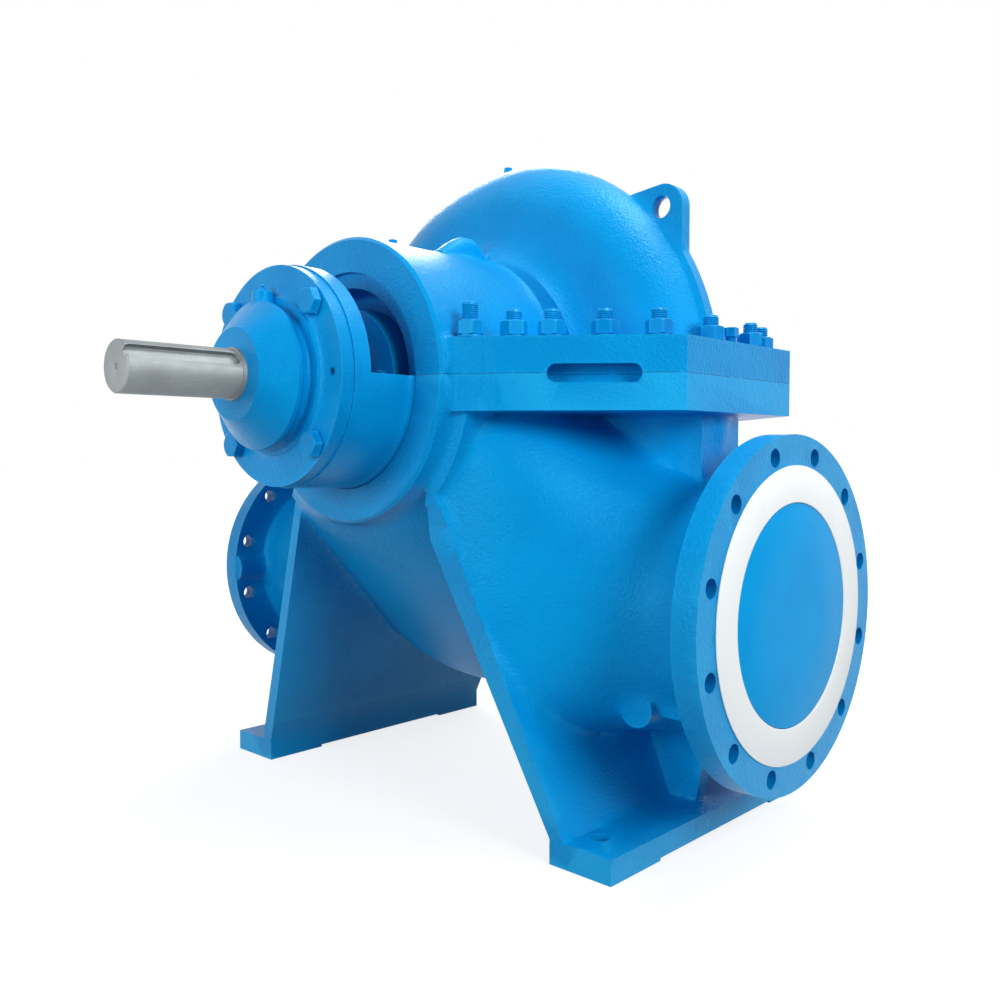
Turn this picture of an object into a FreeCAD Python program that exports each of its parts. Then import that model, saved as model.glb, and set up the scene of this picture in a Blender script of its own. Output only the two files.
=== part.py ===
import FreeCAD, Part
import math
import os

from FreeCAD import Vector

# Horizontally split, double-suction pump that stands on two cast legs.
# X runs along the pipe line (+X towards the suction flange), Y along the shaft
# (-Y towards the coupling end) and Z up. The pieces are modelled with the shaft
# axis at Z = 0 and lifted by shaftHeight when they are written, so that the
# origin is on the floor below the middle of the shaft.

shaftHeight = 589.6

# Shaft
shaftRadius = 30.0
shaftEndY = -624.1
shaftRearY = 452.0
shaftChamfer = 1.5
seatShoulderY = -483.0
lipRadius = 32.0
journalRadius = 35.0
journalStartY = -476.0
centreHoleRadius = 3.5
centreHoleDepth = 6.0
keywayWidth = 18.0
keywayDepth = 7.0
keywayInnerY = -484.0
keywayTurn = 56.0
keywayRunOut = 1.0
runningClearance = 0.05
lipClearance = 0.3
rotorClearance = 6.0

# Barrel of the casing, where the seals sit
barrelRadius = 188.5
barrelFaceRadius = 184.7
barrelFaceY = 312.4
recessRadius = 142.8
recessDepth = 7.0
sealPitRadius = 123.0
sealPitFloorY = 274.0

# Volute, a scroll that grows towards the suction side and the bottom
voluteRimRadius = 344.0
voluteCentreX = 24.0
voluteCentreZ = -9.0
voluteLowerShift = 12.0
voluteRootRadius = 197.0
voluteRootHalfWidth = 93.0
voluteValleyDepth = 14.0
voluteValleyHalfWidth = 78.0
voluteShoulderDepth = 62.0
voluteShoulderHalfWidth = 66.0
rimRibHeight = 10.0

# Split flange
splitHalfHeight = 44.4
splitSideX = 413.4
splitSideHalfLength = 128.0
splitCornerX = 238.0
splitCornerY = 271.0
splitNoseInset = 2.2
splitNoseY = 305.0
slotLength = 113.0
slotHeight = 22.5
slotDepth = 26.0
slotFromSide = 52.0
slotRunOut = 5.0

# Casing studs with their nuts
studRadius = 10.0
nutAcrossFlats = 30.0
nutHeight = 21.0
studRise = 35.0
studInset = 30.0
cornerNutGap = 2.3
cornerStudY = 275.5
cornerStudRise = 43.0
obliqueStudShares = (0.091, 0.295, 0.58, 0.867)
sideStudYs = (-26.3, 72.6)
jackScrewY = 22.0
jackScrewAcrossFlats = 18.0
jackScrewRise = 24.0

# Lifting lug
lugThickness = 18.0
lugTopZ = 264.0
lugTopSlope = 0.11
lugSideX = 328.0
lugHoleX = 294.0
lugHoleZ = 234.0
lugHoleRadius = 15.0
lugCornerRadius = 32.0

# Pipe flanges
nozzleZ = -294.4
flangeFaceX = 487.5
suctionFlangeRadius = 222.5
suctionFlangeThickness = 32.6
suctionPitchRadius = 200.0
suctionFaceRadius = 184.5
suctionBoreRadius = 139.0
dischargeFlangeRadius = 197.5
dischargeFlangeThickness = 30.0
dischargePitchRadius = 175.0
dischargeFaceRadius = 160.0
dischargeBoreRadius = 118.0
flangeHoleCount = 12
flangeHoleRadius = 11.5
spotFaceDepth = 1.0
spotFaceRadius = 19.0
raisedFaceHeight = 2.3
blankDepth = 10.0
blankStandBack = 0.5
blankClearance = 0.6

# Nozzles, each from an oval root at the leg to a round neck behind its flange
suctionNeckRadius = 166.0
suctionNeckLength = 26.0
suctionRootX = 40.0
suctionRootZ = -241.0
suctionRootHalfHeight = 228.0
suctionRootHalfWidth = 274.0
suctionRootSquareness = (12.0, 7.0)
dischargeNeckRadius = 142.0
dischargeNeckLength = 46.0
dischargeRootX = -60.0
dischargeRootZ = -240.0
dischargeRootHalfHeight = 188.0
dischargeRootHalfWidth = 196.0
dischargeRootSquareness = (5.0, 2.6)
nozzleSleeve = 0.3
nozzleSleeveLap = 1.0
nozzleStations = (0.0, 0.25, 0.4, 0.55, 0.7, 0.85, 1.0)
nozzleNarrowing = (0.3, 0.93)
nozzleRounding = (0.0, 0.85)

# Legs and feet, where the fronts and backs of the legs lean outwards to their tops
legHalfLength = 236.5
legTopHalfLength = 285.0
legLeanTopZ = -138.0
footBottomZ = -shaftHeight
footThickness = 31.0
footInnerX = 295.0
footOuterX = 387.0
footPadLength = 100.0
footRecess = 3.5
footHoleX = 337.0
footHoleY = 191.0
footHoleRadius = 12.0
legWidth = 22.0
legCrownX = 133.0
legCrownZ = -110.0
suctionLegTopX = 130.0
suctionLegTopZ = -205.0
dischargeLegTopX = -128.0
dischargeLegTopZ = -138.0
shoulderHeight = 20.5
gussetThickness = 22.0
gussetReach = 62.0
gussetTopZ = -430.0
gussetTopX = 380.0

# Belly between the legs
bellyCentreX = -30.0
bellyFrontRadius = 188.0
bellyShoulderRadius = 440.0
bellyShoulderY = 34.0
bellyCrownRadius = 454.0
bellyFrontY = 302.0

# Bosses and the ribs that carry them
drainBossRadius = 24.0
drainBossX = 352.0
drainBossZ = -408.0
drainBossFaceY = 142.0
bossRibThickness = 16.0
gaugeBossX = -467.0
gaugeBossFaceY = 194.0
flushBossRadius = 15.0
flushBossX = 40.0
flushBossZ = 190.0
flushBossFaceY = 176.0
voluteRibX = 383.0
voluteRibWidth = 20.0
voluteRibFaceY = 45.0
voluteRibFoot = 70.0

# Screwed plugs
plugAcrossFlats = 11.0
plugHeadHeight = 6.0
plugCollarRadius = 7.0
plugCollarHeight = 4.0
plugSeatDepth = 1.0
plugSeatMargin = 1.0
ventPlugX = 8.0
barrelPlugX = 8.0
barrelPlugY = 233.0

# Bearing housing and its cover
housingRadius = 139.5
housingFrontY = 402.8
housingFlangeThickness = 23.0
housingWall = 16.0
housingCollarRadius = 141.8
housingCollarWidth = 15.0
housingCollarChamfer = 3.0
hubRadius = 70.0
hubLength = 22.0
coverFlangeRadius = 137.2
coverFlangeThickness = 18.0
coverNoseY = 478.6
coverNoseRadius = 56.0
coverConeRadius = 91.0
coverConeY = 447.0
coverConeRim = 5.0
coverNeckRadius = 84.0
coverNeckY = 437.0
coverRingRadius = 97.0
coverRingHeight = 5.0
coverBoltCircle = 119.0
coverBoltAcrossFlats = 30.0
coverBoltHeadHeight = 12.5
coverJackHoleRadius = 5.0
nippleBossRadius = 13.0
nippleBossRise = 103.0
nippleBossY = 436.0
nippleBossFoot = 20.0
nippleRadius = 4.0
nippleRise = 9.0

# Seal gland in the pit of the barrel
glandRadius = 96.5
glandFrontY = 308.0
glandNutCircle = 76.0
glandNutAcrossFlats = 19.0
glandNutHeight = 12.0

# half width of the barrel where it leaves the split flange
barrelEdgeX = math.sqrt(barrelRadius ** 2 - splitHalfHeight ** 2)
footTopZ = footBottomZ + footThickness

# small flats on the casing for the plugs: on the rim of the volute and on the barrel at each end
ventPlugZ = voluteCentreZ + math.sqrt(voluteRimRadius ** 2 - (ventPlugX - voluteCentreX) ** 2)
barrelPlugZ = math.sqrt(barrelRadius ** 2 - barrelPlugX ** 2)
plugSeats = [Vector(ventPlugX, 0, ventPlugZ - plugSeatDepth),
             Vector(barrelPlugX, -barrelPlugY, barrelPlugZ - plugSeatDepth),
             Vector(barrelPlugX, barrelPlugY, barrelPlugZ - plugSeatDepth)]

# beyond every piece, for the blocks that cut the halves apart
reach = 700.0

alongX = Vector(1, 0, 0)
alongY = Vector(0, 1, 0)
alongZ = Vector(0, 0, 1)


def mirroredY(shape):
    return shape.mirror(Vector(0, 0, 0), alongY)


def box(low, high):
    size = [b - a for a, b in zip(low, high)]
    return Part.makeBox(size[0], size[1], size[2], Vector(*low))


def ringAlongX(outer, inner, fromX, toX, y=0.0, z=0.0):
    start = Vector(min(fromX, toX), y, z)
    length = abs(toX - fromX)
    ring = Part.makeCylinder(outer, length, start, alongX)
    return ring.cut(Part.makeCylinder(inner, length, start, alongX)) if inner else ring


def cylinderAlongY(radius, fromY, toY, x=0.0, z=0.0):
    return Part.makeCylinder(radius, toY - fromY, Vector(x, fromY, z), alongY)


def turnedAboutShaft(profile, x=0.0, z=0.0):
    # profile: (radius, y) points, closed on the axis
    points = [Vector(radius, y, 0) for radius, y in profile]
    face = Part.Face(Part.makePolygon(points + [points[0]]))
    turned = face.revolve(Vector(0, 0, 0), alongY, 360)
    turned.translate(Vector(x, 0, z))
    return turned


def plateAcrossShaft(outline, fromY, toY):
    # outline: (x, z) points
    points = [Vector(x, fromY, z) for x, z in outline]
    face = Part.Face(Part.makePolygon(points + [points[0]]))
    return face.extrude(Vector(0, toY - fromY, 0))


def plateLevel(outline, fromZ, toZ):
    points = [Vector(x, y, fromZ) for x, y in outline]
    face = Part.Face(Part.makePolygon(points + [points[0]]))
    return face.extrude(Vector(0, 0, toZ - fromZ))


def hexAlong(direction, acrossFlats, height, foot, turn=0.0):
    radius = acrossFlats / math.sqrt(3)
    side = alongX.cross(direction) if abs(direction.x) < 0.5 else alongY
    side = side.normalize()
    up = direction.cross(side)
    corners = []
    for step in range(6):
        angle = math.radians(60 * step + turn)
        corners.append(foot + side * (radius * math.cos(angle)) + up * (radius * math.sin(angle)))
    face = Part.Face(Part.makePolygon(corners + [corners[0]]))
    return face.extrude(direction * height)


def mix(first, last, share):
    return first + (last - first) * share


def eased(share, span):
    # from 0 at the start of the span to 1 at its end, level at both
    inside = min(max((share - span[0]) / (span[1] - span[0]), 0.0), 1.0)
    return inside * inside * (3 - 2 * inside)


def ovalSection(x, centreZ, halfWidth, halfHeight, squareness):
    # oval in a plane across the pipe line, drawn through points at equal turns; squareness is that
    # of its upper and of its lower half, where 2 is an ellipse and more is nearer to a rectangle
    count = 32
    points = []
    for step in range(count):
        angle = 2 * math.pi * step / count
        c, s = math.cos(angle), math.sin(angle)
        power = squareness[0] if s > 0 else squareness[1]
        radius = (abs(c / halfWidth) ** power + abs(s / halfHeight) ** power) ** (-1 / power)
        points.append(Vector(x, radius * c, centreZ + radius * s))
    curve = Part.BSplineCurve()
    curve.interpolate(Points=points, PeriodicFlag=True,
                      Parameters=[step / count for step in range(count + 1)])
    return Part.Wire([curve.toShape()])


def fused(shapes):
    return shapes[0].multiFuse(shapes[1:]).removeSplitter()


def boltCircle(radius, pitchRadius, count, fromX, toX):
    drills = []
    for step in range(count):
        angle = math.radians((step + 0.5) * 360 / count)
        y = pitchRadius * math.cos(angle)
        z = nozzleZ + pitchRadius * math.sin(angle)
        drills.append(ringAlongX(radius, 0, fromX, toX, y, z))
    return Part.makeCompound(drills)


# Shared outlines of the casing halves

def barrel():
    bevel = barrelRadius - barrelFaceRadius
    return turnedAboutShaft([
        (0, -barrelFaceY), (barrelFaceRadius, -barrelFaceY), (barrelRadius, bevel - barrelFaceY),
        (barrelRadius, barrelFaceY - bevel), (barrelFaceRadius, barrelFaceY), (0, barrelFaceY)])


def volute(growth):
    # flank: out of the barrel, through a shallow valley and over the shoulder to the rim
    rim = voluteRimRadius + growth / 2
    profile = [
        (voluteRootRadius, -voluteRootHalfWidth),
        (voluteRootRadius + voluteValleyDepth, -voluteValleyHalfWidth),
        (rim - voluteShoulderDepth, -voluteShoulderHalfWidth),
        (rim, 0)]
    profile += [(radius, -y) for radius, y in reversed(profile[:-1])]
    flank = Part.BSplineCurve()
    flank.interpolate(Points=[Vector(radius, y, 0) for radius, y in profile])
    root, end = profile[0], profile[-1]
    straight = Part.makePolygon([
        Vector(end[0], end[1], 0), Vector(0, end[1], 0), Vector(0, root[1], 0), Vector(root[0], root[1], 0)])
    scroll = Part.Face(Part.Wire([flank.toShape()] + straight.Edges)).revolve(Vector(0, 0, 0), alongY, 360)
    scroll.translate(Vector(voluteCentreX + growth / 2, 0, voluteCentreZ - growth / 2))
    return scroll


def splitOutline():
    corner = [(barrelEdgeX - splitNoseInset, -splitNoseY), (splitCornerX, -splitCornerY),
              (splitSideX, -splitSideHalfLength)]
    right = corner + [(x, -y) for x, y in reversed(corner)]
    return right + [(-x, -y) for x, y in right]


def jointSlots():
    # long rounded slots across the joint, one in each oblique side of the flange
    side = Vector(splitCornerX - splitSideX, splitSideHalfLength - splitCornerY, 0).normalize()
    inward = alongZ.cross(side)
    start = Vector(splitSideX, -splitSideHalfLength, 0) + side * slotFromSide
    if (Vector(0, 0, 0) - start).dot(inward) < 0:
        inward = inward * -1
    radius = slotHeight / 2
    near = start + side * radius
    far = start + side * (slotLength - radius)
    outside = inward * -slotRunOut
    depth = slotDepth + slotRunOut
    middle = Part.Face(Part.makePolygon([
        near + outside + alongZ * radius, far + outside + alongZ * radius,
        far + outside - alongZ * radius, near + outside - alongZ * radius,
        near + outside + alongZ * radius])).extrude(inward * depth)
    slot = middle.fuse([Part.makeCylinder(radius, depth, near + outside, inward),
                        Part.makeCylinder(radius, depth, far + outside, inward)])
    slots = [slot, mirroredY(slot)]
    return slots + [one.mirror(Vector(0, 0, 0), alongX) for one in slots]


def shaftSpace():
    cuts = [cylinderAlongY(journalRadius + rotorClearance, -sealPitFloorY, sealPitFloorY)]
    pit = cylinderAlongY(sealPitRadius, -barrelFaceY, -sealPitFloorY)
    recess = cylinderAlongY(recessRadius, -barrelFaceY, recessDepth - barrelFaceY)
    for one in (pit, recess):
        cuts += [one, mirroredY(one)]
    return cuts


def half(upper):
    low = 0.0 if upper else -reach
    return box((-reach, -reach, low), (reach, reach, low + reach))


def liftingLug():
    # a plate with a sloping top and one round corner, on the rib that runs down the rim of the volute
    r = lugCornerRadius
    turn = math.atan(lugTopSlope)
    middle = Vector(lugSideX - r, 0, lugTopZ - r)
    onTop = middle + Vector(-math.sin(turn), 0, math.cos(turn)) * r
    between = (math.pi + 2 * turn) / 4
    edges = [
        Part.LineSegment(Vector(0, 0, 0), Vector(0, 0, onTop.z - onTop.x * lugTopSlope)),
        Part.LineSegment(Vector(0, 0, onTop.z - onTop.x * lugTopSlope), onTop),
        Part.Arc(onTop, middle + Vector(math.cos(between), 0, math.sin(between)) * r,
                 Vector(lugSideX, 0, middle.z)),
        Part.LineSegment(Vector(lugSideX, 0, middle.z), Vector(lugSideX, 0, 0)),
        Part.LineSegment(Vector(lugSideX, 0, 0), Vector(0, 0, 0))]
    plate = Part.Face(Part.Wire([edge.toShape() for edge in edges])).extrude(Vector(0, lugThickness, 0))
    plate.translate(Vector(0, -lugThickness / 2, 0))
    rib = cylinderAlongY(voluteRimRadius + rimRibHeight, -lugThickness / 2, lugThickness / 2,
                         voluteCentreX, voluteCentreZ)
    rib = rib.common(box((lugHoleX, -lugThickness, 0), (reach, lugThickness, middle.z)))
    return [plate, rib]


def upperCasing():
    flushBoss = cylinderAlongY(flushBossRadius, -flushBossFaceY, 0, flushBossX, flushBossZ)
    body = fused([barrel(), volute(0.0), flushBoss, mirroredY(flushBoss)]).common(half(True))
    flange = plateLevel(splitOutline(), 0, splitHalfHeight)
    casing = fused([body, flange] + liftingLug())
    hole = cylinderAlongY(lugHoleRadius, -lugThickness, lugThickness, lugHoleX, lugHoleZ)
    flats = [Part.makeCylinder(plugCollarRadius + plugSeatMargin, plugCollarHeight, seat, alongZ)
             for seat in plugSeats]
    return casing.cut(shaftSpace() + jointSlots() + flats + [hole])


# Lower casing

def legFaceX(side, topX, topZ, z):
    # where the inner face of a leg is at height z, which stands upright above its slope
    return topX if z > topZ else mix(topX, side * footInnerX, (z - topZ) / (footTopZ - topZ))


def outsideLeg(side, topX, topZ):
    # all that lies beyond the inner face of one leg
    return plateAcrossShaft([
        (topX, 0), (side * reach, 0), (side * reach, -reach), (legFaceX(side, topX, topZ, -reach), -reach),
        (topX, topZ)], -reach, reach)


def betweenLegFronts():
    # the room between the leaning fronts and backs of the legs
    outline = [(legTopHalfLength, 0), (legTopHalfLength, legLeanTopZ), (legHalfLength, footTopZ)]
    outline += [(-y, z) for y, z in reversed(outline)]
    points = [Vector(-reach, y, z) for y, z in outline]
    return Part.Face(Part.makePolygon(points + [points[0]])).extrude(alongX * 2 * reach)


def nozzle(side, root, neckRadius, neckX):
    # root: x, middle z, half width, half height and squareness of the oval at the leg
    rootX, rootZ, halfWidth, halfHeight, squareness = root
    sections = []
    for share in nozzleStations:
        turn = eased(share, nozzleNarrowing)
        rounding = eased(share, nozzleRounding)
        sections.append(ovalSection(
            mix(rootX, side * neckX, share), mix(rootZ, nozzleZ, turn), mix(halfWidth, neckRadius, turn),
            mix(halfHeight, neckRadius, turn), [mix(power, 2.0, rounding) for power in squareness]))
    sleeve = ringAlongX(neckRadius + nozzleSleeve, 0, side * (neckX - nozzleSleeveLap), side * flangeFaceX,
                        0, nozzleZ)
    return Part.makeLoft(sections, True).fuse(sleeve)


def suctionBowl():
    root = (suctionRootX, suctionRootZ, suctionRootHalfWidth, suctionRootHalfHeight, suctionRootSquareness)
    neckX = flangeFaceX - suctionFlangeThickness - suctionNeckLength
    bowl = nozzle(1, root, suctionNeckRadius, neckX)
    return bowl.common(outsideLeg(1, suctionLegTopX, suctionLegTopZ).common(betweenLegFronts()))


def dischargeNozzle():
    root = (dischargeRootX, dischargeRootZ, dischargeRootHalfWidth, dischargeRootHalfHeight,
            dischargeRootSquareness)
    neckX = flangeFaceX - dischargeFlangeThickness - dischargeNeckLength
    neck = nozzle(-1, root, dischargeNeckRadius, neckX)
    return neck.common(outsideLeg(-1, dischargeLegTopX, dischargeLegTopZ))


def belly():
    # a double cone about the shaft with a round crown, cut off at the insides of the legs
    edges = [
        Part.LineSegment(Vector(bellyFrontRadius, -bellyFrontY, 0),
                         Vector(bellyShoulderRadius, -bellyShoulderY, 0)),
        Part.Arc(Vector(bellyShoulderRadius, -bellyShoulderY, 0), Vector(bellyCrownRadius, 0, 0),
                 Vector(bellyShoulderRadius, bellyShoulderY, 0)),
        Part.LineSegment(Vector(bellyShoulderRadius, bellyShoulderY, 0),
                         Vector(bellyFrontRadius, bellyFrontY, 0)),
        Part.LineSegment(Vector(bellyFrontRadius, bellyFrontY, 0), Vector(0, bellyFrontY, 0)),
        Part.LineSegment(Vector(0, bellyFrontY, 0), Vector(0, -bellyFrontY, 0)),
        Part.LineSegment(Vector(0, -bellyFrontY, 0), Vector(bellyFrontRadius, -bellyFrontY, 0))]
    cone = Part.Face(Part.Wire([edge.toShape() for edge in edges])).revolve(Vector(0, 0, 0), alongY, 360)
    cone.translate(Vector(bellyCentreX, 0, 0))
    return cone.common(plateAcrossShaft([
        (dischargeLegTopX, 0), (suctionLegTopX, 0), (suctionLegTopX, suctionLegTopZ),
        (footInnerX, footTopZ), (-footInnerX, footTopZ), (dischargeLegTopX, dischargeLegTopZ)],
        -bellyFrontY, bellyFrontY))


def legWeb(side, topX, topZ):
    # one inclined web with its foot, which stands on a pad at each end, and the gusset behind it
    web = plateAcrossShaft([
        (topX, legCrownZ), (topX, topZ), (side * footInnerX, footTopZ),
        (side * (footInnerX + legWidth), footTopZ), (side * legCrownX, legCrownZ)], -reach, reach)
    xs = sorted((side * footInnerX, side * footOuterX))
    foot = box((xs[0], -legHalfLength, footBottomZ), (xs[1], legHalfLength, footTopZ))
    padGap = legHalfLength - footPadLength
    foot = foot.cut(box((xs[0], -padGap, footBottomZ), (xs[1], padGap, footBottomZ + footRecess)))
    gussetRootX = legFaceX(side, topX, topZ, gussetTopZ) + side * legWidth / 2
    gusset = plateAcrossShaft([
        (side * footInnerX, footTopZ), (side * (footInnerX + gussetReach), footTopZ),
        (side * gussetTopX, gussetTopZ), (gussetRootX, gussetTopZ)],
        -gussetThickness / 2, gussetThickness / 2)
    return [web.common(betweenLegFronts()), foot, gusset]


def shoulder():
    # band round the barrel that carries the suction leg on up to the split flange
    band = cylinderAlongY(barrelRadius + shoulderHeight, -legTopHalfLength, legTopHalfLength)
    return band.common(outsideLeg(1, suctionLegTopX, suctionLegTopZ))


def bosses():
    # drain bosses with a rib to the suction flange, and gauge bosses across the back of the discharge flange
    drain = cylinderAlongY(drainBossRadius, -drainBossFaceY, drainBossFaceY, drainBossX, drainBossZ)
    rib = box((drainBossX, -drainBossFaceY + bossRibThickness, drainBossZ - bossRibThickness / 2),
              (flangeFaceX - raisedFaceHeight, drainBossFaceY - bossRibThickness,
               drainBossZ + bossRibThickness / 2))
    gauge = cylinderAlongY(drainBossRadius, -gaugeBossFaceY, gaugeBossFaceY, gaugeBossX, nozzleZ)
    gauge = gauge.common(box((blankDepth - flangeFaceX, -reach, -reach), (0, reach, 0)))
    return [drain, rib, gauge]


def voluteRib():
    # upright rib between the split flange and the suction bowl, at the outermost point of the volute
    footZ = nozzleZ + suctionNeckRadius - voluteRibFoot
    return box((voluteRimRadius - voluteRibWidth, -voluteRibFaceY, footZ), (voluteRibX, voluteRibFaceY, 0))


def flangeBores(side, pitchRadius, thickness, boreRadius):
    # bolt holes with a spot face behind each, and the shallow recess of the blanking disc
    back = side * (flangeFaceX - thickness)
    drills = [boltCircle(flangeHoleRadius, pitchRadius, flangeHoleCount, back, side * flangeFaceX),
              boltCircle(spotFaceRadius, pitchRadius, flangeHoleCount, back - side * spotFaceRadius,
                         back + side * spotFaceDepth)]
    recess = ringAlongX(boreRadius, 0, side * (flangeFaceX - blankDepth), side * flangeFaceX, 0, nozzleZ)
    return drills + [recess]


def lowerCasing():
    scroll = [barrel(), volute(2 * voluteLowerShift), voluteRib(), suctionBowl(), dischargeNozzle(), belly(),
              shoulder()]
    body = fused(scroll).common(half(False))
    suctionFlange = ringAlongX(suctionFlangeRadius, 0, flangeFaceX - suctionFlangeThickness, flangeFaceX,
                               0, nozzleZ)
    dischargeFlange = ringAlongX(dischargeFlangeRadius, 0, -flangeFaceX,
                                 dischargeFlangeThickness - flangeFaceX, 0, nozzleZ)
    flange = plateLevel(splitOutline(), -splitHalfHeight, 0)
    legs = legWeb(1, suctionLegTopX, suctionLegTopZ) + legWeb(-1, dischargeLegTopX, dischargeLegTopZ)
    casing = fused([body, suctionFlange, dischargeFlange, flange] + legs + bosses())
    cuts = shaftSpace() + jointSlots()
    cuts += flangeBores(1, suctionPitchRadius, suctionFlangeThickness, suctionBoreRadius)
    cuts += flangeBores(-1, dischargePitchRadius, dischargeFlangeThickness, dischargeBoreRadius)
    for x in (-footHoleX, footHoleX):
        for y in (-footHoleY, footHoleY):
            cuts.append(Part.makeCylinder(footHoleRadius, footThickness, Vector(x, y, footBottomZ), alongZ))
    return casing.cut(cuts)


# Flange faces

def faceRing(side, outer, bore):
    return ringAlongX(outer, bore, side * flangeFaceX, side * (flangeFaceX + raisedFaceHeight),
                      0, nozzleZ)


def blankDisc(side, bore):
    return ringAlongX(bore - blankClearance, 0, side * (flangeFaceX - blankDepth),
                      side * (flangeFaceX + raisedFaceHeight - blankStandBack), 0, nozzleZ)


# Bearing ends, built at the coupling end (-Y)

def bearingHousing():
    tubeEnd = recessDepth - barrelFaceY
    flange = cylinderAlongY(housingRadius, -housingFrontY, housingFlangeThickness - housingFrontY)
    hub = cylinderAlongY(hubRadius, -housingFrontY, housingFlangeThickness + hubLength - housingFrontY)
    tube = cylinderAlongY(housingRadius, -housingFrontY, tubeEnd)
    collar = turnedAboutShaft([
        (0, tubeEnd - housingCollarWidth), (housingRadius, tubeEnd - housingCollarWidth),
        (housingCollarRadius, tubeEnd - housingCollarWidth + housingCollarChamfer),
        (housingCollarRadius, tubeEnd),
        (0, tubeEnd)])
    trough = fused([tube, collar]).common(half(False))
    hollow = cylinderAlongY(housingRadius - housingWall,
                            housingFlangeThickness - housingFrontY, tubeEnd)
    trough = trough.cut(hollow)
    housing = fused([flange, hub, trough])
    bore = cylinderAlongY(journalRadius + runningClearance, -housingFrontY, -sealPitFloorY)
    return housing.cut(bore)


def bearingCover(closed):
    flangeY = housingFrontY + coverFlangeThickness
    cover = turnedAboutShaft([
        (0, -coverNoseY), (coverNoseRadius, -coverNoseY), (coverConeRadius, -coverConeY),
        (coverConeRadius, coverConeRim - coverConeY), (coverNeckRadius, -coverNeckY),
        (coverNeckRadius, -flangeY - coverRingHeight), (coverRingRadius, -flangeY - coverRingHeight),
        (coverRingRadius, -flangeY),
        (coverFlangeRadius, -flangeY), (coverFlangeRadius, -housingFrontY), (0, -housingFrontY)])
    bossFootZ = coverNeckRadius - nippleBossFoot
    boss = Part.makeCylinder(nippleBossRadius, nippleBossRise - bossFootZ,
                             Vector(0, -nippleBossY, bossFootZ), alongZ)
    cover = fused([cover, boss])
    cuts = []
    for side in (-1, 1):
        cuts.append(cylinderAlongY(coverJackHoleRadius, -flangeY, -housingFrontY,
                                   side * coverBoltCircle, 0))
    if closed:
        space = journalRadius + rotorClearance
        cuts.append(cylinderAlongY(space, -shaftRearY - rotorClearance, -housingFrontY))
    else:
        lipY = journalStartY - lipClearance
        cuts.append(cylinderAlongY(lipRadius + runningClearance, -coverNoseY, lipY))
        cuts.append(cylinderAlongY(journalRadius + runningClearance, lipY, -housingFrontY))
    return cover.cut(cuts)


def coverBolts():
    flangeY = housingFrontY + coverFlangeThickness
    bolts = []
    for step in range(4):
        angle = math.radians(45 + 90 * step)
        foot = Vector(coverBoltCircle * math.cos(angle), -flangeY, coverBoltCircle * math.sin(angle))
        bolts.append(hexAlong(Vector(0, -1, 0), coverBoltAcrossFlats, coverBoltHeadHeight, foot, 90))
    return Part.makeCompound(bolts)


def greaseNipple():
    return Part.makeCylinder(nippleRadius, nippleRise, Vector(0, -nippleBossY, nippleBossRise), alongZ)


def gland():
    return turnedAboutShaft([
        (journalRadius + rotorClearance, -glandFrontY), (glandRadius, -glandFrontY),
        (glandRadius, -sealPitFloorY), (journalRadius + rotorClearance, -sealPitFloorY)])


def glandNuts():
    nuts = []
    for side in (-1, 1):
        foot = Vector(side * glandNutCircle, -glandFrontY, 0)
        nuts.append(hexAlong(Vector(0, -1, 0), glandNutAcrossFlats, glandNutHeight, foot))
    return Part.makeCompound(nuts)


# Shaft

def shaft():
    r, j, c = shaftRadius, journalRadius, shaftChamfer
    rod = turnedAboutShaft([
        (0, shaftEndY), (r - c, shaftEndY), (r, shaftEndY + c), (r, seatShoulderY),
        (lipRadius, seatShoulderY), (lipRadius, journalStartY), (j, journalStartY), (j, shaftRearY - c),
        (j - c, shaftRearY), (0, shaftRearY)])
    # the keyway is cut along +X, then the whole shaft is turned to its place
    floor = r - keywayDepth
    endRadius = keywayWidth / 2
    ends = (shaftEndY + endRadius - keywayRunOut, keywayInnerY - endRadius)
    slot = box((floor, ends[0], -endRadius), (2 * r, ends[1], endRadius))
    slot = slot.fuse([Part.makeCylinder(endRadius, 2 * r - floor, Vector(floor, y, 0), alongX) for y in ends])
    centre = Part.makeCone(centreHoleRadius, 0, centreHoleDepth, Vector(0, shaftEndY, 0), alongY)
    turned = rod.cut([slot, centre])
    turned.rotate(Vector(0, 0, 0), alongY, keywayTurn - 90)
    return turned


# Studs, nuts and plugs

def studWithNut(x, y, rise=studRise):
    foot = Vector(x, y, splitHalfHeight)
    nut = hexAlong(alongZ, nutAcrossFlats, nutHeight, foot)
    return nut.fuse(Part.makeCylinder(studRadius, rise, foot, alongZ)).removeSplitter()


def frontStuds(side):
    # the stud beside the barrel, then those along the oblique side, set in from its edge
    cornerX = barrelEdgeX + cornerNutGap + nutAcrossFlats / 2
    studs = [studWithNut(side * cornerX, -cornerStudY, cornerStudRise)]
    a = Vector(splitCornerX, -splitCornerY, 0)
    b = Vector(splitSideX, -splitSideHalfLength, 0)
    inward = Vector(a.y - b.y, b.x - a.x, 0).normalize() * studInset
    for share in obliqueStudShares:
        place = a + (b - a) * share + inward
        studs.append(studWithNut(side * place.x, place.y))
    return Part.makeCompound(studs)


def rearStuds(side):
    return mirroredY(frontStuds(side))


def sideStuds(side):
    return Part.makeCompound([studWithNut(side * (splitSideX - studInset), y) for y in sideStudYs])


def jackScrew(side):
    foot = Vector(side * (splitSideX - studInset), jackScrewY, splitHalfHeight)
    return hexAlong(alongZ, jackScrewAcrossFlats, jackScrewRise, foot)


def plug(seat):
    # a round collar under a hexagon head
    collar = Part.makeCylinder(plugCollarRadius, plugCollarHeight, seat, alongZ)
    head = hexAlong(alongZ, plugAcrossFlats, plugHeadHeight, seat + alongZ * plugCollarHeight)
    return collar.fuse(head)


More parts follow.
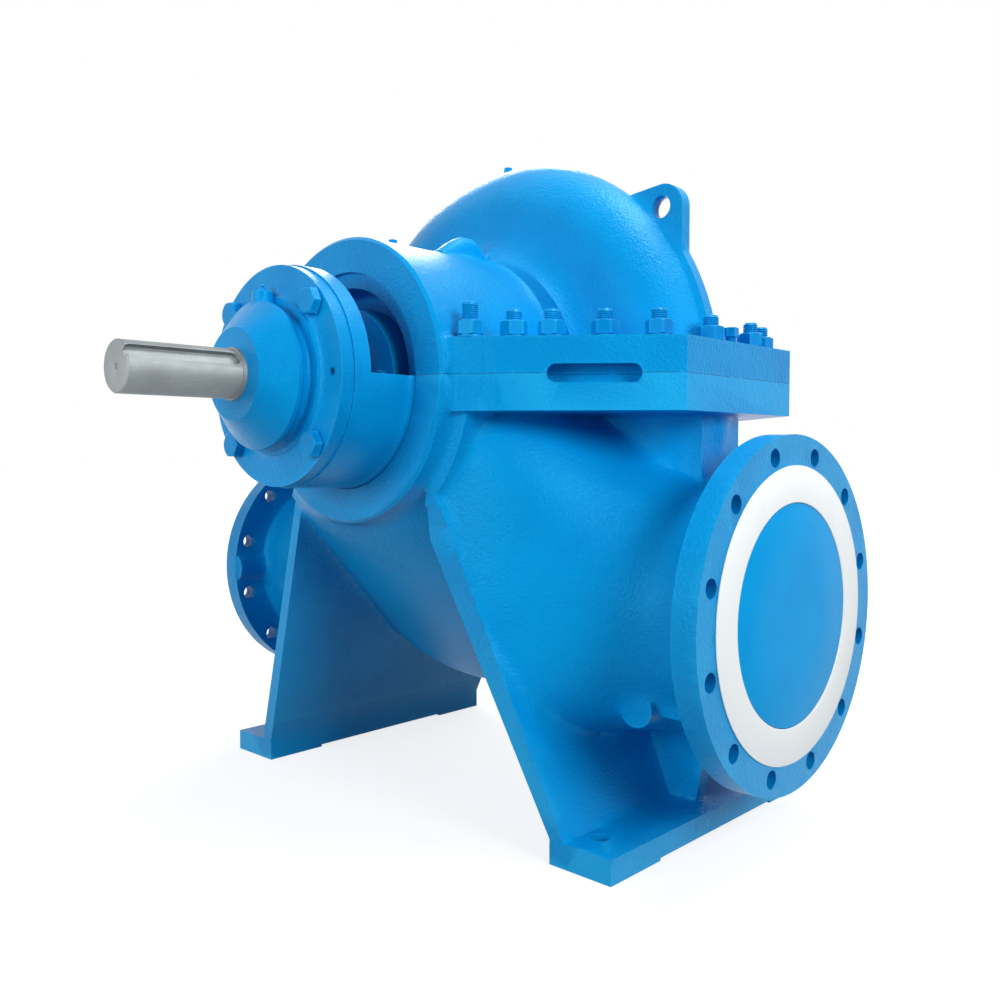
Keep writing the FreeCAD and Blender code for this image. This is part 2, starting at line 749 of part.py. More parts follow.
pieces = {
    "lower_casing": lowerCasing(),
    "upper_casing": upperCasing(),
    "suction_face_ring": faceRing(1, suctionFaceRadius, suctionBoreRadius),
    "suction_blank_disc": blankDisc(1, suctionBoreRadius),
    "discharge_face_ring": faceRing(-1, dischargeFaceRadius, dischargeBoreRadius),
    "discharge_blank_disc": blankDisc(-1, dischargeBoreRadius),
    "shaft": shaft(),
    "drive_bearing_housing": bearingHousing(),
    "rear_bearing_housing": mirroredY(bearingHousing()),
    "drive_bearing_cover": bearingCover(False),
    "rear_bearing_cover": mirroredY(bearingCover(True)),
    "drive_cover_bolts": coverBolts(),
    "rear_cover_bolts": mirroredY(coverBolts()),
    "drive_grease_nipple": greaseNipple(),
    "rear_grease_nipple": mirroredY(greaseNipple()),
    "drive_gland": gland(),
    "rear_gland": mirroredY(gland()),
    "drive_gland_nuts": glandNuts(),
    "rear_gland_nuts": mirroredY(glandNuts()),
    "suction_front_studs": frontStuds(1),
    "suction_rear_studs": rearStuds(1),
    "suction_side_studs": sideStuds(1),
    "discharge_front_studs": frontStuds(-1),
    "discharge_rear_studs": rearStuds(-1),
    "discharge_side_studs": sideStuds(-1),
    "suction_jack_screw": jackScrew(1),
    "discharge_jack_screw": jackScrew(-1),
    "casing_vent_plug": plug(plugSeats[0]),
    "drive_barrel_plug": plug(plugSeats[1]),
    "rear_barrel_plug": plug(plugSeats[2]),
}

os.makedirs("parts", exist_ok=True)
for name, shape in pieces.items():
    shape.translate(Vector(0, 0, shaftHeight))
    shape.exportStep("parts/" + name + ".step")
    print(name, len(shape.Solids), "solids", round(shape.Volume / 1e6, 2), "litres", shape.isValid())
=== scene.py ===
import math

import bmesh
import bpy
import numpy as np
from mathutils import Matrix, Vector


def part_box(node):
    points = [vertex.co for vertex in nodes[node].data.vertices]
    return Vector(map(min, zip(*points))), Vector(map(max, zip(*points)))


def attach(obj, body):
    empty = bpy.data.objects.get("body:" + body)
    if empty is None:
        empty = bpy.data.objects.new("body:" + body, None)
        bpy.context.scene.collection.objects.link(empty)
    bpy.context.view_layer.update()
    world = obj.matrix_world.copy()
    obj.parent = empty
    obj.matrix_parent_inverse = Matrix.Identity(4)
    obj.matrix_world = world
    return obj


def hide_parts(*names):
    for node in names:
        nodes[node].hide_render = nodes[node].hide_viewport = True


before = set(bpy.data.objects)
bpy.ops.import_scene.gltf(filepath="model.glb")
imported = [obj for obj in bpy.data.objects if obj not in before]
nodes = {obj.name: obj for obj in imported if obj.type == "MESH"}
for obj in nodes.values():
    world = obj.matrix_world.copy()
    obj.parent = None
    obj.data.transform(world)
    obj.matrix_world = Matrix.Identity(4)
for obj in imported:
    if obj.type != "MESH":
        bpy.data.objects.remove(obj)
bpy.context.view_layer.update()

shaftHeight = 0.5896  # the floor to the middle of the shaft
nozzleHeight = 0.2952  # the floor to the middle of both pipe flanges
mm = 0.001


def stage(text):
    print("stage:", text)


# Shader writing: a Value stands for a socket, and the usual signs on it add Math nodes

class Value:
    def __init__(self, paint, socket):
        self.paint = paint
        self.socket = socket

    def math(self, operation, first, second):
        return self.paint.node("Math", {"operation": operation}, {0: first, 1: second})

    def __add__(self, other):
        return self.math("ADD", self, other)

    def __sub__(self, other):
        return self.math("SUBTRACT", self, other)

    def __rsub__(self, other):
        return self.math("SUBTRACT", other, self)

    def __mul__(self, other):
        return self.math("MULTIPLY", self, other)

    def __abs__(self):
        return self.math("ABSOLUTE", self, 0)

    __radd__ = __add__
    __rmul__ = __mul__

    def step(self, low, high):
        # 0 below low, 1 above high and a soft ramp between
        return self.paint.node("MapRange", {"interpolation_type": "SMOOTHSTEP"},
                               {"Value": self, "From Min": low, "From Max": high})

    def around(self, middle, spread):
        # a pattern from 0 to 1, laid evenly round a middle value
        return self * spread + (middle - spread / 2)


class Paint:
    def __init__(self, name, **constants):
        self.material = bpy.data.materials.new(name)
        self.material.use_nodes = True
        self.tree = self.material.node_tree
        self.surface = self.tree.nodes["Principled BSDF"]
        for socket, value in constants.items():
            self.surface.inputs[socket.replace("_", " ")].default_value = value
        self.place = self.node("TexCoord", output="Object")

    def fill(self, socket, value):
        if isinstance(value, Value):
            self.tree.links.new(value.socket, socket)
        else:
            socket.default_value = value

    def node(self, kind, settings=None, inputs=None, output=0):
        made = self.tree.nodes.new("ShaderNode" + kind)
        for name, value in (settings or {}).items():
            setattr(made, name, value)
        for socket, value in (inputs or {}).items():
            self.fill(made.inputs[socket], value)
        return Value(self, made.outputs[output])

    def noise(self, size, detail=2.0, roughness=0.5, place=None):
        # size: the distance in metres over which the pattern changes
        return self.node("TexNoise", inputs={"Vector": place or self.place, "Scale": 1 / size,
                                             "Detail": detail, "Roughness": roughness})

    def stretched(self, scale):
        return self.node("Mapping", inputs={"Vector": self.place, "Scale": scale})

    def axes(self):
        split = self.node("SeparateXYZ", inputs={"Vector": self.place})
        return [Value(self, output) for output in split.socket.node.outputs]

    def edges(self, low, high):
        # 1 on outer edges, 0 on flat and hollow places
        return self.node("NewGeometry", output="Pointiness").step(low, high)

    def between(self, factor, first, second):
        return self.node("Mix", {"data_type": "RGBA"}, {0: factor, 6: first, 7: second}, 2)

    def seenDirectly(self):
        # 1 for what the camera sees, in the open, in a reflection or through glass
        direct = self.node("LightPath", output="Is Camera Ray")
        mirrored = self.node("LightPath", output="Is Glossy Ray")
        through = self.node("LightPath", output="Is Transmission Ray")
        either = self.node("Math", {"operation": "MAXIMUM"}, {0: direct, 1: mirrored})
        return self.node("Math", {"operation": "MAXIMUM"}, {0: either, 1: through})

    def finish(self, colour, roughness, height):
        # height in metres, as relief of the surface
        self.fill(self.surface.inputs["Base Color"], colour)
        self.fill(self.surface.inputs["Roughness"], roughness)
        bump = self.node("Bump", inputs={"Height": height, "Distance": 1.0, "Strength": 1.0})
        self.fill(self.surface.inputs["Normal"], bump)
        return self.material


class Sky(Paint):
    def __init__(self, name):
        self.world = bpy.data.worlds.new(name)
        self.world.use_nodes = True
        self.tree = self.world.node_tree


def plain(red, green, blue):
    return (red, green, blue, 1.0)


# Enamel, gasket face and steel

toneRange = (0.3, 0.7)  # where a slow noise turns from the deep colour to the bright one
castLook = {
    "colour": plain(0.0, 0.295, 0.68), "deepColour": plain(0.0, 0.245, 0.60), "tone": 160 * mm,
    # outer edges paler: partly rubbed paint, partly a painted highlight
    "edgeWearAndHighlightColour": plain(0.02, 0.46, 0.86), "edgeFrom": 0.53, "edgeTo": 0.62, "edgeWearAndHighlightShare": 0.5,
    "glossTint": plain(0.10, 0.72, 1.0), "gloss": 0.36,
    "grain": 3.6 * mm, "grainHeight": 1.2 * mm,
    "swell": 30 * mm, "swellHeight": 0.9 * mm,
    "roughness": 0.33, "roughnessSpread": 0.22,
    # the line where the two halves meet
    "jointColour": plain(0.0, 0.10, 0.32), "jointShare": 0.55, "jointDepth": 0.5 * mm,
    "jointCore": 0.2 * mm, "jointEdge": 0.7 * mm,
    "breaks": 18 * mm, "breakFrom": 0.3, "breakTo": 0.5,
    # the rough patch on the split flange's front, beside the barrel
    "patchFrom": 0.196, "patchTo": 0.226, "patchSide": 2 * mm,
    "patchFront": 0.262, "patchFrontEnd": 0.266, "patchRise": 44.4 * mm, "patchRiseEnd": 46 * mm,
    "patchGrain": 4 * mm, "patchHeight": 0.9 * mm,
}


def castPaint():
    # thick enamel over a sand casting: orange peel, slow swells, and outer edges paler, partly as rubbed
    # paint and partly as a painted highlight
    look = castLook
    paint = Paint("castBlueEnamel", Specular_IOR_Level=look["gloss"], Specular_Tint=look["glossTint"])
    grain = paint.noise(look["grain"], detail=3.0, roughness=0.6)
    swell = paint.noise(look["swell"])
    tone = paint.noise(look["tone"], detail=3.0)
    # paler outer edges: partly rubbed paint, partly a painted highlight
    edge = paint.edges(look["edgeFrom"], look["edgeTo"])
    x, y, z = paint.axes()
    fromJoint = abs(z - shaftHeight)
    joint = 1 - fromJoint.step(look["jointCore"], look["jointEdge"])
    joint = joint * paint.noise(look["breaks"]).step(look["breakFrom"], look["breakTo"])
    patch = abs(x).step(look["patchFrom"], look["patchFrom"] + look["patchSide"])
    patch = patch * (1 - abs(x).step(look["patchTo"] - look["patchSide"], look["patchTo"]))
    patch = patch * abs(y).step(look["patchFront"], look["patchFrontEnd"])
    patch = patch * (1 - fromJoint.step(look["patchRise"], look["patchRiseEnd"]))
    colour = paint.between(tone.step(*toneRange), look["deepColour"], look["colour"])
    colour = paint.between(edge * look["edgeWearAndHighlightShare"], colour, look["edgeWearAndHighlightColour"])
    colour = paint.between(joint * look["jointShare"], colour, look["jointColour"])
    height = grain * look["grainHeight"] + swell * look["swellHeight"] - joint * look["jointDepth"]
    patchGrain = paint.noise(look["patchGrain"], detail=3.0, roughness=0.7)
    height = height + patch * patchGrain * look["patchHeight"]
    return paint.finish(colour, grain.around(look["roughness"], look["roughnessSpread"]), height)


enamelLooks = {
    "smooth": {"name": "blueEnamel", "roughness": 0.32, "gloss": castLook["gloss"],
               "colour": castLook["colour"], "deepColour": castLook["deepColour"],
               "grain": 3.2 * mm, "grainHeight": 0.8 * mm},
    "fixing": {"name": "blueEnamelFixings", "roughness": 0.34, "gloss": castLook["gloss"],
               "colour": plain(0.0, 0.27, 0.65), "deepColour": plain(0.0, 0.22, 0.56),
               "grain": 2.0 * mm, "grainHeight": 0.16 * mm},
    "disc": {"name": "brightBlueDisc", "roughness": 0.42, "gloss": 0.12,
             "colour": plain(0.0, 0.345, 0.77), "deepColour": plain(0.0, 0.32, 0.74),
             "grain": 0.8 * mm, "grainHeight": 0.03 * mm},
}
enamelShared = {
    # outer edges paler: partly rubbed paint, partly a painted highlight
    "tone": 70 * mm, "edgeFrom": 0.52, "edgeTo": 0.60, "edgeWearAndHighlightShare": 0.4,
    "swell": 14 * mm, "swellHeight": 0.12 * mm, "roughnessSpread": 0.16,
}


def smoothPaint(look):
    # the same enamel over turned or drawn parts
    shared = enamelShared
    paint = Paint(look["name"], Specular_IOR_Level=look["gloss"], Specular_Tint=castLook["glossTint"])
    grain = paint.noise(look["grain"], roughness=0.6)
    tone = paint.noise(shared["tone"], detail=3.0)
    # paler outer edges: partly rubbed paint, partly a painted highlight
    edge = paint.edges(shared["edgeFrom"], shared["edgeTo"])
    colour = paint.between(tone.step(*toneRange), look["deepColour"], look["colour"])
    colour = paint.between(edge * shared["edgeWearAndHighlightShare"], colour, castLook["edgeWearAndHighlightColour"])
    height = grain * look["grainHeight"] + paint.noise(shared["swell"]) * shared["swellHeight"]
    return paint.finish(colour, grain.around(look["roughness"], shared["roughnessSpread"]), height)


gasketLook = {
    "colour": plain(0.90, 0.925, 0.935), "roughness": 0.5, "roughnessSpread": 0.2, "coat": 0.1,
    "smudgeColour": plain(0.80, 0.86, 0.90), "smudge": 60 * mm,
    "smudgeFrom": 0.55, "smudgeTo": 0.75, "smudgeShare": 0.5,
    "groove": 1.4 * mm, "grooveHeight": 0.12 * mm, "grain": 1.2 * mm, "grainHeight": 0.05 * mm,
}


def gasketPaint():
    # near white gasket face with the rings of its facing cut and a few soft smudges
    look = gasketLook
    paint = Paint("whiteFlangeFace", Coat_Weight=look["coat"])
    x, y, z = paint.axes()
    across = paint.node("CombineXYZ", inputs={0: y, 1: z - nozzleHeight, 2: 0.0})
    radius = paint.node("VectorMath", {"operation": "LENGTH"}, {0: across}, "Value")
    grooves = paint.node("TexNoise", {"noise_dimensions": "1D"},
                         {"W": radius, "Scale": 1 / look["groove"], "Detail": 2.0})
    smudge = paint.noise(look["smudge"], detail=4.0, roughness=0.6).step(look["smudgeFrom"], look["smudgeTo"])
    grain = paint.noise(look["grain"], detail=3.0)
    colour = paint.between(smudge * look["smudgeShare"], look["colour"], look["smudgeColour"])
    height = grooves * look["grooveHeight"] + grain * look["grainHeight"]
    return paint.finish(colour, grain.around(look["roughness"], look["roughnessSpread"]), height)


steelLook = {
    "colour": plain(0.26, 0.285, 0.29), "leastRoughness": 0.46,
    "stainColour": plain(0.22, 0.24, 0.245), "stain": 45 * mm,
    "stainFrom": 0.35, "stainTo": 0.75, "stainRoughness": 0.10,
    "ring": 0.7 * mm, "ringStretch": (0.02, 1.0, 0.02), "ringHeight": 0.05 * mm, "ringRoughness": 0.14,
    "scratchColour": plain(0.40, 0.43, 0.43), "scratchShare": 0.35, "scratch": 2.0 * mm,
    "scratchStretch": (1.0, 0.05, 1.0), "scratchFrom": 0.60, "scratchTo": 0.72, "scratchDepth": 0.02 * mm,
}


def steelPaint():
    # satin steel, turned between centres: fine rings along the shaft and a few longer scratches
    look = steelLook
    paint = Paint("turnedSteel", Metallic=1.0)
    rings = paint.noise(look["ring"], detail=3.0, roughness=0.7, place=paint.stretched(look["ringStretch"]))
    scratches = paint.noise(look["scratch"], roughness=0.6, place=paint.stretched(look["scratchStretch"]))
    scratches = scratches.step(look["scratchFrom"], look["scratchTo"])
    stain = paint.noise(look["stain"], detail=4.0, roughness=0.6)
    stained = stain.step(look["stainFrom"], look["stainTo"])
    colour = paint.between(stained, look["colour"], look["stainColour"])
    colour = paint.between(scratches * look["scratchShare"], colour, look["scratchColour"])
    roughness = rings * look["ringRoughness"] + stain * look["stainRoughness"] + look["leastRoughness"]
    return paint.finish(colour, roughness, rings * look["ringHeight"] - scratches * look["scratchDepth"])


stage("materials")
materials = {"cast": castPaint(), "face": gasketPaint(), "steel": steelPaint()}
for finish, look in enamelLooks.items():
    materials[finish] = smoothPaint(look)


# Mesh tools

def newPiece(name, mesh, material, nodeName, body="casing", sharpAngle=34):
    made = bpy.data.objects.new(name, mesh)
    bpy.context.scene.collection.objects.link(made)
    mesh.materials.clear()
    mesh.materials.append(materials[material])
    mesh.polygons.foreach_set("use_smooth", [True] * len(mesh.polygons))
    mesh.set_sharp_from_angle(angle=math.radians(sharpAngle))
    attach(made, body)
    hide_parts(nodeName)


def welded(nodeName):
    form = bmesh.new()
    form.from_mesh(nodes[nodeName].data)
    bmesh.ops.remove_doubles(form, verts=form.verts, dist=0.01 * mm)
    return form


def asMesh(name, form):
    mesh = bpy.data.meshes.new(name)
    form.to_mesh(mesh)
    form.free()
    return mesh


def withModifier(name, mesh, kind, settings):
    # the mesh after one modifier
    holder = bpy.data.objects.new(name, mesh)
    bpy.context.scene.collection.objects.link(holder)
    modifier = holder.modifiers.new(kind, kind)
    for key, value in settings.items():
        setattr(modifier, key, value)
    made = bpy.data.meshes.new_from_object(holder.evaluated_get(bpy.context.evaluated_depsgraph_get()))
    bpy.data.objects.remove(holder)
    return made


def bevelCopy(name, nodeName, width, angle=35):
    # a copy of the solid with its edges just broken; faces within half a degree count as one
    form = welded(nodeName)
    bmesh.ops.dissolve_limit(form, angle_limit=math.radians(0.5), verts=form.verts, edges=form.edges)
    return withModifier(name, asMesh(name, form), "BEVEL", {
        "width": width, "segments": 2, "limit_method": "ANGLE", "angle_limit": math.radians(angle)})


def islands(nodeName):
    # the lowest and highest corner of each separate solid of a node
    form = welded(nodeName)
    found = []
    left = set(form.verts)
    while left:
        group = {left.pop()}
        newest = list(group)
        while newest:
            reached = {end for vert in newest for link in vert.link_edges for end in link.verts} & left
            left -= reached
            group |= reached
            newest = list(reached)
        corners = np.array([vert.co for vert in group])
        found.append((Vector(corners.min(0)), Vector(corners.max(0))))
    form.free()
    return sorted(found, key=lambda pair: (round(pair[0].x, 4), round(pair[0].y, 4)))


def stack(form, place, rings, count, closed=False):
    # rings: (height, radius or rule for the radius at an angle), joined in order round the Z axis of place
    loops = []
    for height, radius in rings:
        loop = []
        for step in range(count):
            angle = 2 * math.pi * step / count
            reach = radius(angle) if callable(radius) else radius
            spot = Vector((reach * math.cos(angle), reach * math.sin(angle), height))
            loop.append(form.verts.new(place @ spot))
        loops.append(loop)
    pairs = list(zip(loops, loops[1:] + loops[:1])) if closed else list(zip(loops, loops[1:]))
    for lower, upper in pairs:
        for step in range(count):
            after = (step + 1) % count
            form.faces.new((lower[step], lower[after], upper[after], upper[step]))
    if not closed:
        form.faces.new(list(reversed(loops[0])))
        form.faces.new(loops[-1])


def outwardMesh(name, form):
    bmesh.ops.recalc_face_normals(form, faces=form.faces)
    return asMesh(name, form)


def standing(foot, along=(0, 0, 1), flat=(1, 0, 0)):
    # a place whose Z axis is along, and whose first flat faces flat
    up = Vector(along)
    side = Vector(flat)
    return Matrix.Translation(foot) @ Matrix((side, up.cross(side), up)).transposed().to_4x4()


# Castings

castMesh = {
    "share": 0.9,  # of the remesh grid that the part fills
    "pace": 0.6, "freshNormals": 8,  # steps between new normals
    "gentle": 0.12 * mm,  # outward bulges up to this are polished away
    "sharpAngle": 38,
}


def castFillets(mesh, steps, polish, keepOut):
    # lets the inner corners fill up as in a casting: a point moves only outwards, towards its neighbours;
    # gently round places are polished too, and outer edges stay crisp
    count = len(mesh.vertices)
    spots = np.zeros(count * 3)
    mesh.vertices.foreach_get("co", spots)
    spots = spots.reshape(-1, 3)
    links = np.zeros(len(mesh.edges) * 2, int)
    mesh.edges.foreach_get("vertices", links)
    one, two = links.reshape(-1, 2).T
    neighbours = np.maximum(np.bincount(links, minlength=count), 1)[:, None]
    free = 1.0 - keepOut(spots)
    for step in range(steps + polish):
        if step % castMesh["freshNormals"] == 0:
            mesh.vertices.foreach_set("co", spots.ravel())
            mesh.update()
            normals = np.zeros(count * 3)
            mesh.vertices.foreach_get("normal", normals)
            normals = normals.reshape(-1, 3)
        total = np.stack([np.bincount(one, spots[two, k], count) + np.bincount(two, spots[one, k], count)
                          for k in range(3)], axis=1)
        outwards = ((total / neighbours - spots) * normals).sum(axis=1)
        least = 0.0 if step < steps else -castMesh["gentle"]
        moves = np.where(outwards > least, outwards, 0.0) * free * castMesh["pace"]
        spots += normals * moves[:, None]
    mesh.vertices.foreach_set("co", spots.ravel())
    mesh.update()


def castCopy(name, nodeName, look):
    # a copy of the solid on an even mesh, with cast fillets in its inner corners
    mesh = withModifier(name, asMesh(name, welded(nodeName)), "REMESH", {
        "mode": "SHARP", "octree_depth": look["depth"], "scale": castMesh["share"], "sharpness": 1.0,
        "use_remove_disconnected": False})
    if look["reshape"]:
        look["reshape"](mesh)
    castFillets(mesh, look["fillet"], look["polish"], look["machined"])
    if look["keep"] < 1:
        mesh = withModifier(name, mesh, "DECIMATE", {"ratio": look["keep"]})
    mesh.name = name
    return mesh


sealRoom = {"radius": 0.150, "from": 0.255}
slotRoom = {"rise": 0.016, "from": 0.225}
boltRoom = {"x": 0.337, "y": 0.191, "radius": 0.030, "top": 0.060}
flangeFront = 0.470
boreRadius = 0.045


def machinedCasing(spots):
    # the seats at the shaft, the fronts of the pipe flanges, the slots and the foot bolt seats stay as cut
    fromShaft = np.hypot(spots[:, 0], spots[:, 2] - shaftHeight)
    seats = (fromShaft < sealRoom["radius"]) & (np.abs(spots[:, 1]) > sealRoom["from"])
    fronts = np.abs(spots[:, 0]) > flangeFront
    slots = (np.abs(spots[:, 2] - shaftHeight) < slotRoom["rise"]) & (np.abs(spots[:, 0]) > slotRoom["from"])
    fromBolt = np.hypot(np.abs(spots[:, 0]) - boltRoom["x"], np.abs(spots[:, 1]) - boltRoom["y"])
    bolts = (fromBolt < boltRoom["radius"]) & (spots[:, 2] < boltRoom["top"])
    return (seats | fronts | slots | bolts).astype(float)


def machinedEnds(spots):
    # the bores of housings and covers stay as turned
    return (np.hypot(spots[:, 0], spots[:, 2] - shaftHeight) < boreRadius).astype(float)


hornLook = {
    "x": 0.040, "reach": 0.019, "least": 0.3 * mm,  # what of the casing is the boss
    "barrelRadius": 0.1885, "rootY": 0.093, "rootRadius": 0.197, "rootSlope": 0.93,  # what it stands on
    "from": 0.180, "top": 0.128, "end": 0.118, "round": 0.016, "until": 0.078,  # along the shaft
    "gain": 1.35, "slim": 0.6, "broad": 1.0,  # its height and width against the plain boss
}


def hornedBosses(mesh):
    # the bosses on the barrel rise like horns from its ends and stop short of the volute
    look = hornLook
    for vert in mesh.vertices:
        spot = vert.co
        aside = spot.x - look["x"]
        inwards = look["rootY"] - abs(spot.y)
        ground = look["rootRadius"] + inwards * look["rootSlope"] if inwards > 0 else look["barrelRadius"]
        rise = math.hypot(spot.x, spot.z - shaftHeight) - ground
        onBoss = abs(aside) < look["reach"] and rise > look["least"] and spot.z > shaftHeight
        if not onBoss or not look["until"] < abs(spot.y) < look["from"]:
            continue
        climb = min((look["from"] - abs(spot.y)) / (look["from"] - look["top"]), 1.0)
        fall = max((look["end"] - abs(spot.y)) / look["round"], 0.0)
        swelling = math.sin(climb * math.pi / 2)
        share = swelling * math.sqrt(max(1 - fall * fall, 0.0))
        spot.z += rise * (look["gain"] * share - 1)
        spot.x = look["x"] + aside * (look["slim"] + (look["broad"] - look["slim"]) * swelling)


casingLook = {"material": "cast", "depth": 8, "polish": 4, "machined": machinedCasing, "reshape": None}
endLook = {"material": "smooth", "depth": 7, "polish": 2, "machined": machinedEnds, "reshape": None}
castings = {
    "lowerCasting": ("lower_casing", dict(casingLook, fillet=30, keep=0.45)),
    "upperCasting": ("upper_casing", dict(casingLook, fillet=46, keep=0.75, reshape=hornedBosses)),
    "driveHousing": ("drive_bearing_housing", dict(endLook, fillet=12, keep=1)),
    "rearHousing": ("rear_bearing_housing", dict(endLook, fillet=12, keep=1)),
    "driveCover": ("drive_bearing_cover", dict(endLook, fillet=30, keep=1)),
    "rearCover": ("rear_bearing_cover", dict(endLook, fillet=30, keep=1)),
}

stage("castings")
for name, (nodeName, look) in castings.items():
    mesh = castCopy(name, nodeName, look)
    newPiece(name, mesh, look["material"], nodeName, sharpAngle=castMesh["sharpAngle"])
    print("  ", name, len(mesh.polygons), "faces")


# Flange faces and blanking discs

faceLook = {
    "chamfer": 0.8 * mm, "round": 0.4, "segments": 160,
    "discGap": 0.6 * mm, "discEdge": 1.5 * mm, "discRound": 0.3, "discMiddle": 0.5, "discCentre": 1 * mm,
}


def onNozzle(low, high, side):
    # the inner face of a ring or disc, with its Z axis out of the nozzle
    return standing((low.x if side > 0 else high.x, 0, nozzleHeight), (side, 0, 0), (0, 1, 0))


def faceRing(name, nodeName, side):
    low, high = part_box(nodeName)
    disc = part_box(nodeName.replace("face_ring", "blank_disc"))
    outer = (high.y - low.y) / 2
    inner = (disc[1].y - disc[0].y) / 2 + faceLook["discGap"]
    thick = high.x - low.x
    edge = faceLook["chamfer"]
    bend = edge * faceLook["round"]
    # the closed section of the ring, with its four edges broken
    section = [(0, inner + edge), (0, outer - edge), (edge, outer), (thick - edge, outer),
               (thick - bend, outer - bend), (thick, outer - edge), (thick, inner + edge),
               (thick - edge, inner), (edge, inner)]
    form = bmesh.new()
    stack(form, onNozzle(low, high, side), section, faceLook["segments"], closed=True)
    newPiece(name, outwardMesh(name, form), "face", nodeName)


def blankDisc(name, nodeName, side):
    low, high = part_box(nodeName)
    outer = (high.y - low.y) / 2
    thick = high.x - low.x
    edge = faceLook["discEdge"]
    bend = edge * faceLook["discRound"]
    rings = [(0, outer - edge), (edge, outer), (thick - edge, outer), (thick - bend, outer - bend),
             (thick, outer - edge), (thick, outer * faceLook["discMiddle"]), (thick, faceLook["discCentre"])]
    form = bmesh.new()
    stack(form, onNozzle(low, high, side), rings, faceLook["segments"])
    newPiece(name, outwardMesh(name, form), "disc", nodeName)


stage("flange faces")
faceRing("suctionFace", "suction_face_ring", 1)
faceRing("dischargeFace", "discharge_face_ring", -1)
blankDisc("suctionDisc", "suction_blank_disc", 1)
blankDisc("dischargeDisc", "discharge_blank_disc", -1)


# Studs, nuts, bolts and plugs

hexLook = {"face": 0.47, "slope": 30, "levels": 5, "segments": 48}  # the round face against the flats
threadLook = {
    "depth": 0.5, "levels": 6, "segments": 24,  # a turn of the thread has so many levels
    "tip": 0.22, "shoulder": 0.55, "tipRings": [(0.15, 0.80), (0, 0.66)],
}
fixings = {
    "studRadius": 10 * mm, "nutAcross": 30 * mm, "nutHeight": 18.5 * mm, "pitch": 2.5 * mm, "inNut": 2 * mm,
    "turnMix": (7919, 104729),  # spreads the angles at which the nuts came to rest
    "washerRadius": 16.8 * mm, "washerHeight": 2.5 * mm, "washerEdge": 0.25, "washerSegments": 40,
    "boltAcross": 30 * mm, "boltCollar": 14.4 * mm, "boltCollarHeight": 1.2 * mm,
    "plugAcross": 11 * mm, "plugCollar": 7 * mm, "plugCollarHeight": 4 * mm,
    "jackAcross": 18 * mm, "jackRadius": 7.56 * mm, "jackPitch": 1.75 * mm,
    "jackHeadFrom": 0.5, "jackThreadTo": 0.6,  # shares of the height
    "glandRadius": 5.6 * mm, "glandPitch": 1.5 * mm,
    "glandNutTo": 0.8, "glandThreadFrom": 0.7,  # shares of the height
    "glandEdge": 1.2 * mm, "sharpAngle": 28,
}
nippleLook = {
    "across": 1.9, "hexTop": 0.45, "segments": 24,
    "rings": [(0.42, 0.7), (0.6, 0.5), (0.68, 0.5), (0.78, 0.72), (0.9, 0.66), (1, 0.35)],
}


def hexBody(form, place, acrossFlats, low, high, chamferBelow=False):
    # hexagon with the corners turned off at a slope
    face = acrossFlats * hexLook["face"]
    slope = math.tan(math.radians(hexLook["slope"]))
    depth = acrossFlats * (1 / math.sqrt(3) - hexLook["face"]) * slope
    levels = hexLook["levels"]

    def corner(angle):
        return acrossFlats / 2 / math.cos((angle + math.pi / 6) % (math.pi / 3) - math.pi / 6)

    def cut(distance):
        return lambda angle: min(corner(angle), face + distance / slope)
    if chamferBelow:
        rings = [(low + depth * step / levels, cut(depth * step / levels)) for step in range(levels + 1)]
    else:
        rings = [(low, corner)]
    rings += [(high - depth * step / levels, cut(depth * step / levels)) for step in range(levels, -1, -1)]
    stack(form, place, rings, hexLook["segments"])


def threadedEnd(form, place, radius, low, high, pitch):
    # a stud's end, with a thread that climbs and a rounded tip
    depth = pitch * threadLook["depth"]
    tip = radius * threadLook["tip"]
    length = high - tip - low

    def thread(height):
        def at(angle):
            turn = (height / pitch + angle / (2 * math.pi)) % 1
            return radius - depth * abs(2 * turn - 1)
        return at
    steps = int(length / (pitch / threadLook["levels"]))
    heights = [low + length * step / steps for step in range(steps + 1)]
    rings = [(height, thread(height)) for height in heights]
    rings.append((high - tip * threadLook["shoulder"], radius - depth))
    rings += [(high - tip * below, radius * share) for below, share in threadLook["tipRings"]]
    stack(form, place, rings, threadLook["segments"])


def washer(form, place, radius, height):
    edge = height * fixings["washerEdge"]
    rings = [(0, radius - edge), (edge, radius), (height - edge, radius), (height, radius - edge)]
    stack(form, place, rings, fixings["washerSegments"])


def newFixing(name, form, nodeName):
    newPiece(name, outwardMesh(name, form), "fixing", nodeName, sharpAngle=fixings["sharpAngle"])


def footBelow(low, high):
    return Vector(((low.x + high.x) / 2, (low.y + high.y) / 2, low.z))


def footOnEnd(low, high, side):
    # the foot of a bolt or nut that points along the shaft, away from the casing
    return Vector(((low.x + high.x) / 2, low.y if side > 0 else high.y, (low.z + high.z) / 2))


def studRow(name, nodeName):
    look = fixings
    nutTop = look["washerHeight"] + look["nutHeight"]
    form = bmesh.new()
    for low, high in islands(nodeName):
        foot = footBelow(low, high)
        turn = math.radians((foot.x * look["turnMix"][0] + foot.y * look["turnMix"][1]) * 60 % 60)
        place = standing(foot, flat=(math.cos(turn), math.sin(turn), 0))
        washer(form, place, look["washerRadius"], look["washerHeight"])
        hexBody(form, place, look["nutAcross"], look["washerHeight"], nutTop, chamferBelow=True)
        threadedEnd(form, place, look["studRadius"], nutTop - look["inNut"], high.z - low.z, look["pitch"])
    newFixing(name, form, nodeName)


def coverBolts(name, nodeName, side):
    look = fixings
    form = bmesh.new()
    for low, high in islands(nodeName):
        place = standing(footOnEnd(low, high, side), (0, side, 0), (0, 0, 1))
        washer(form, place, look["boltCollar"], look["boltCollarHeight"])
        hexBody(form, place, look["boltAcross"], look["boltCollarHeight"], high.y - low.y)
    newFixing(name, form, nodeName)


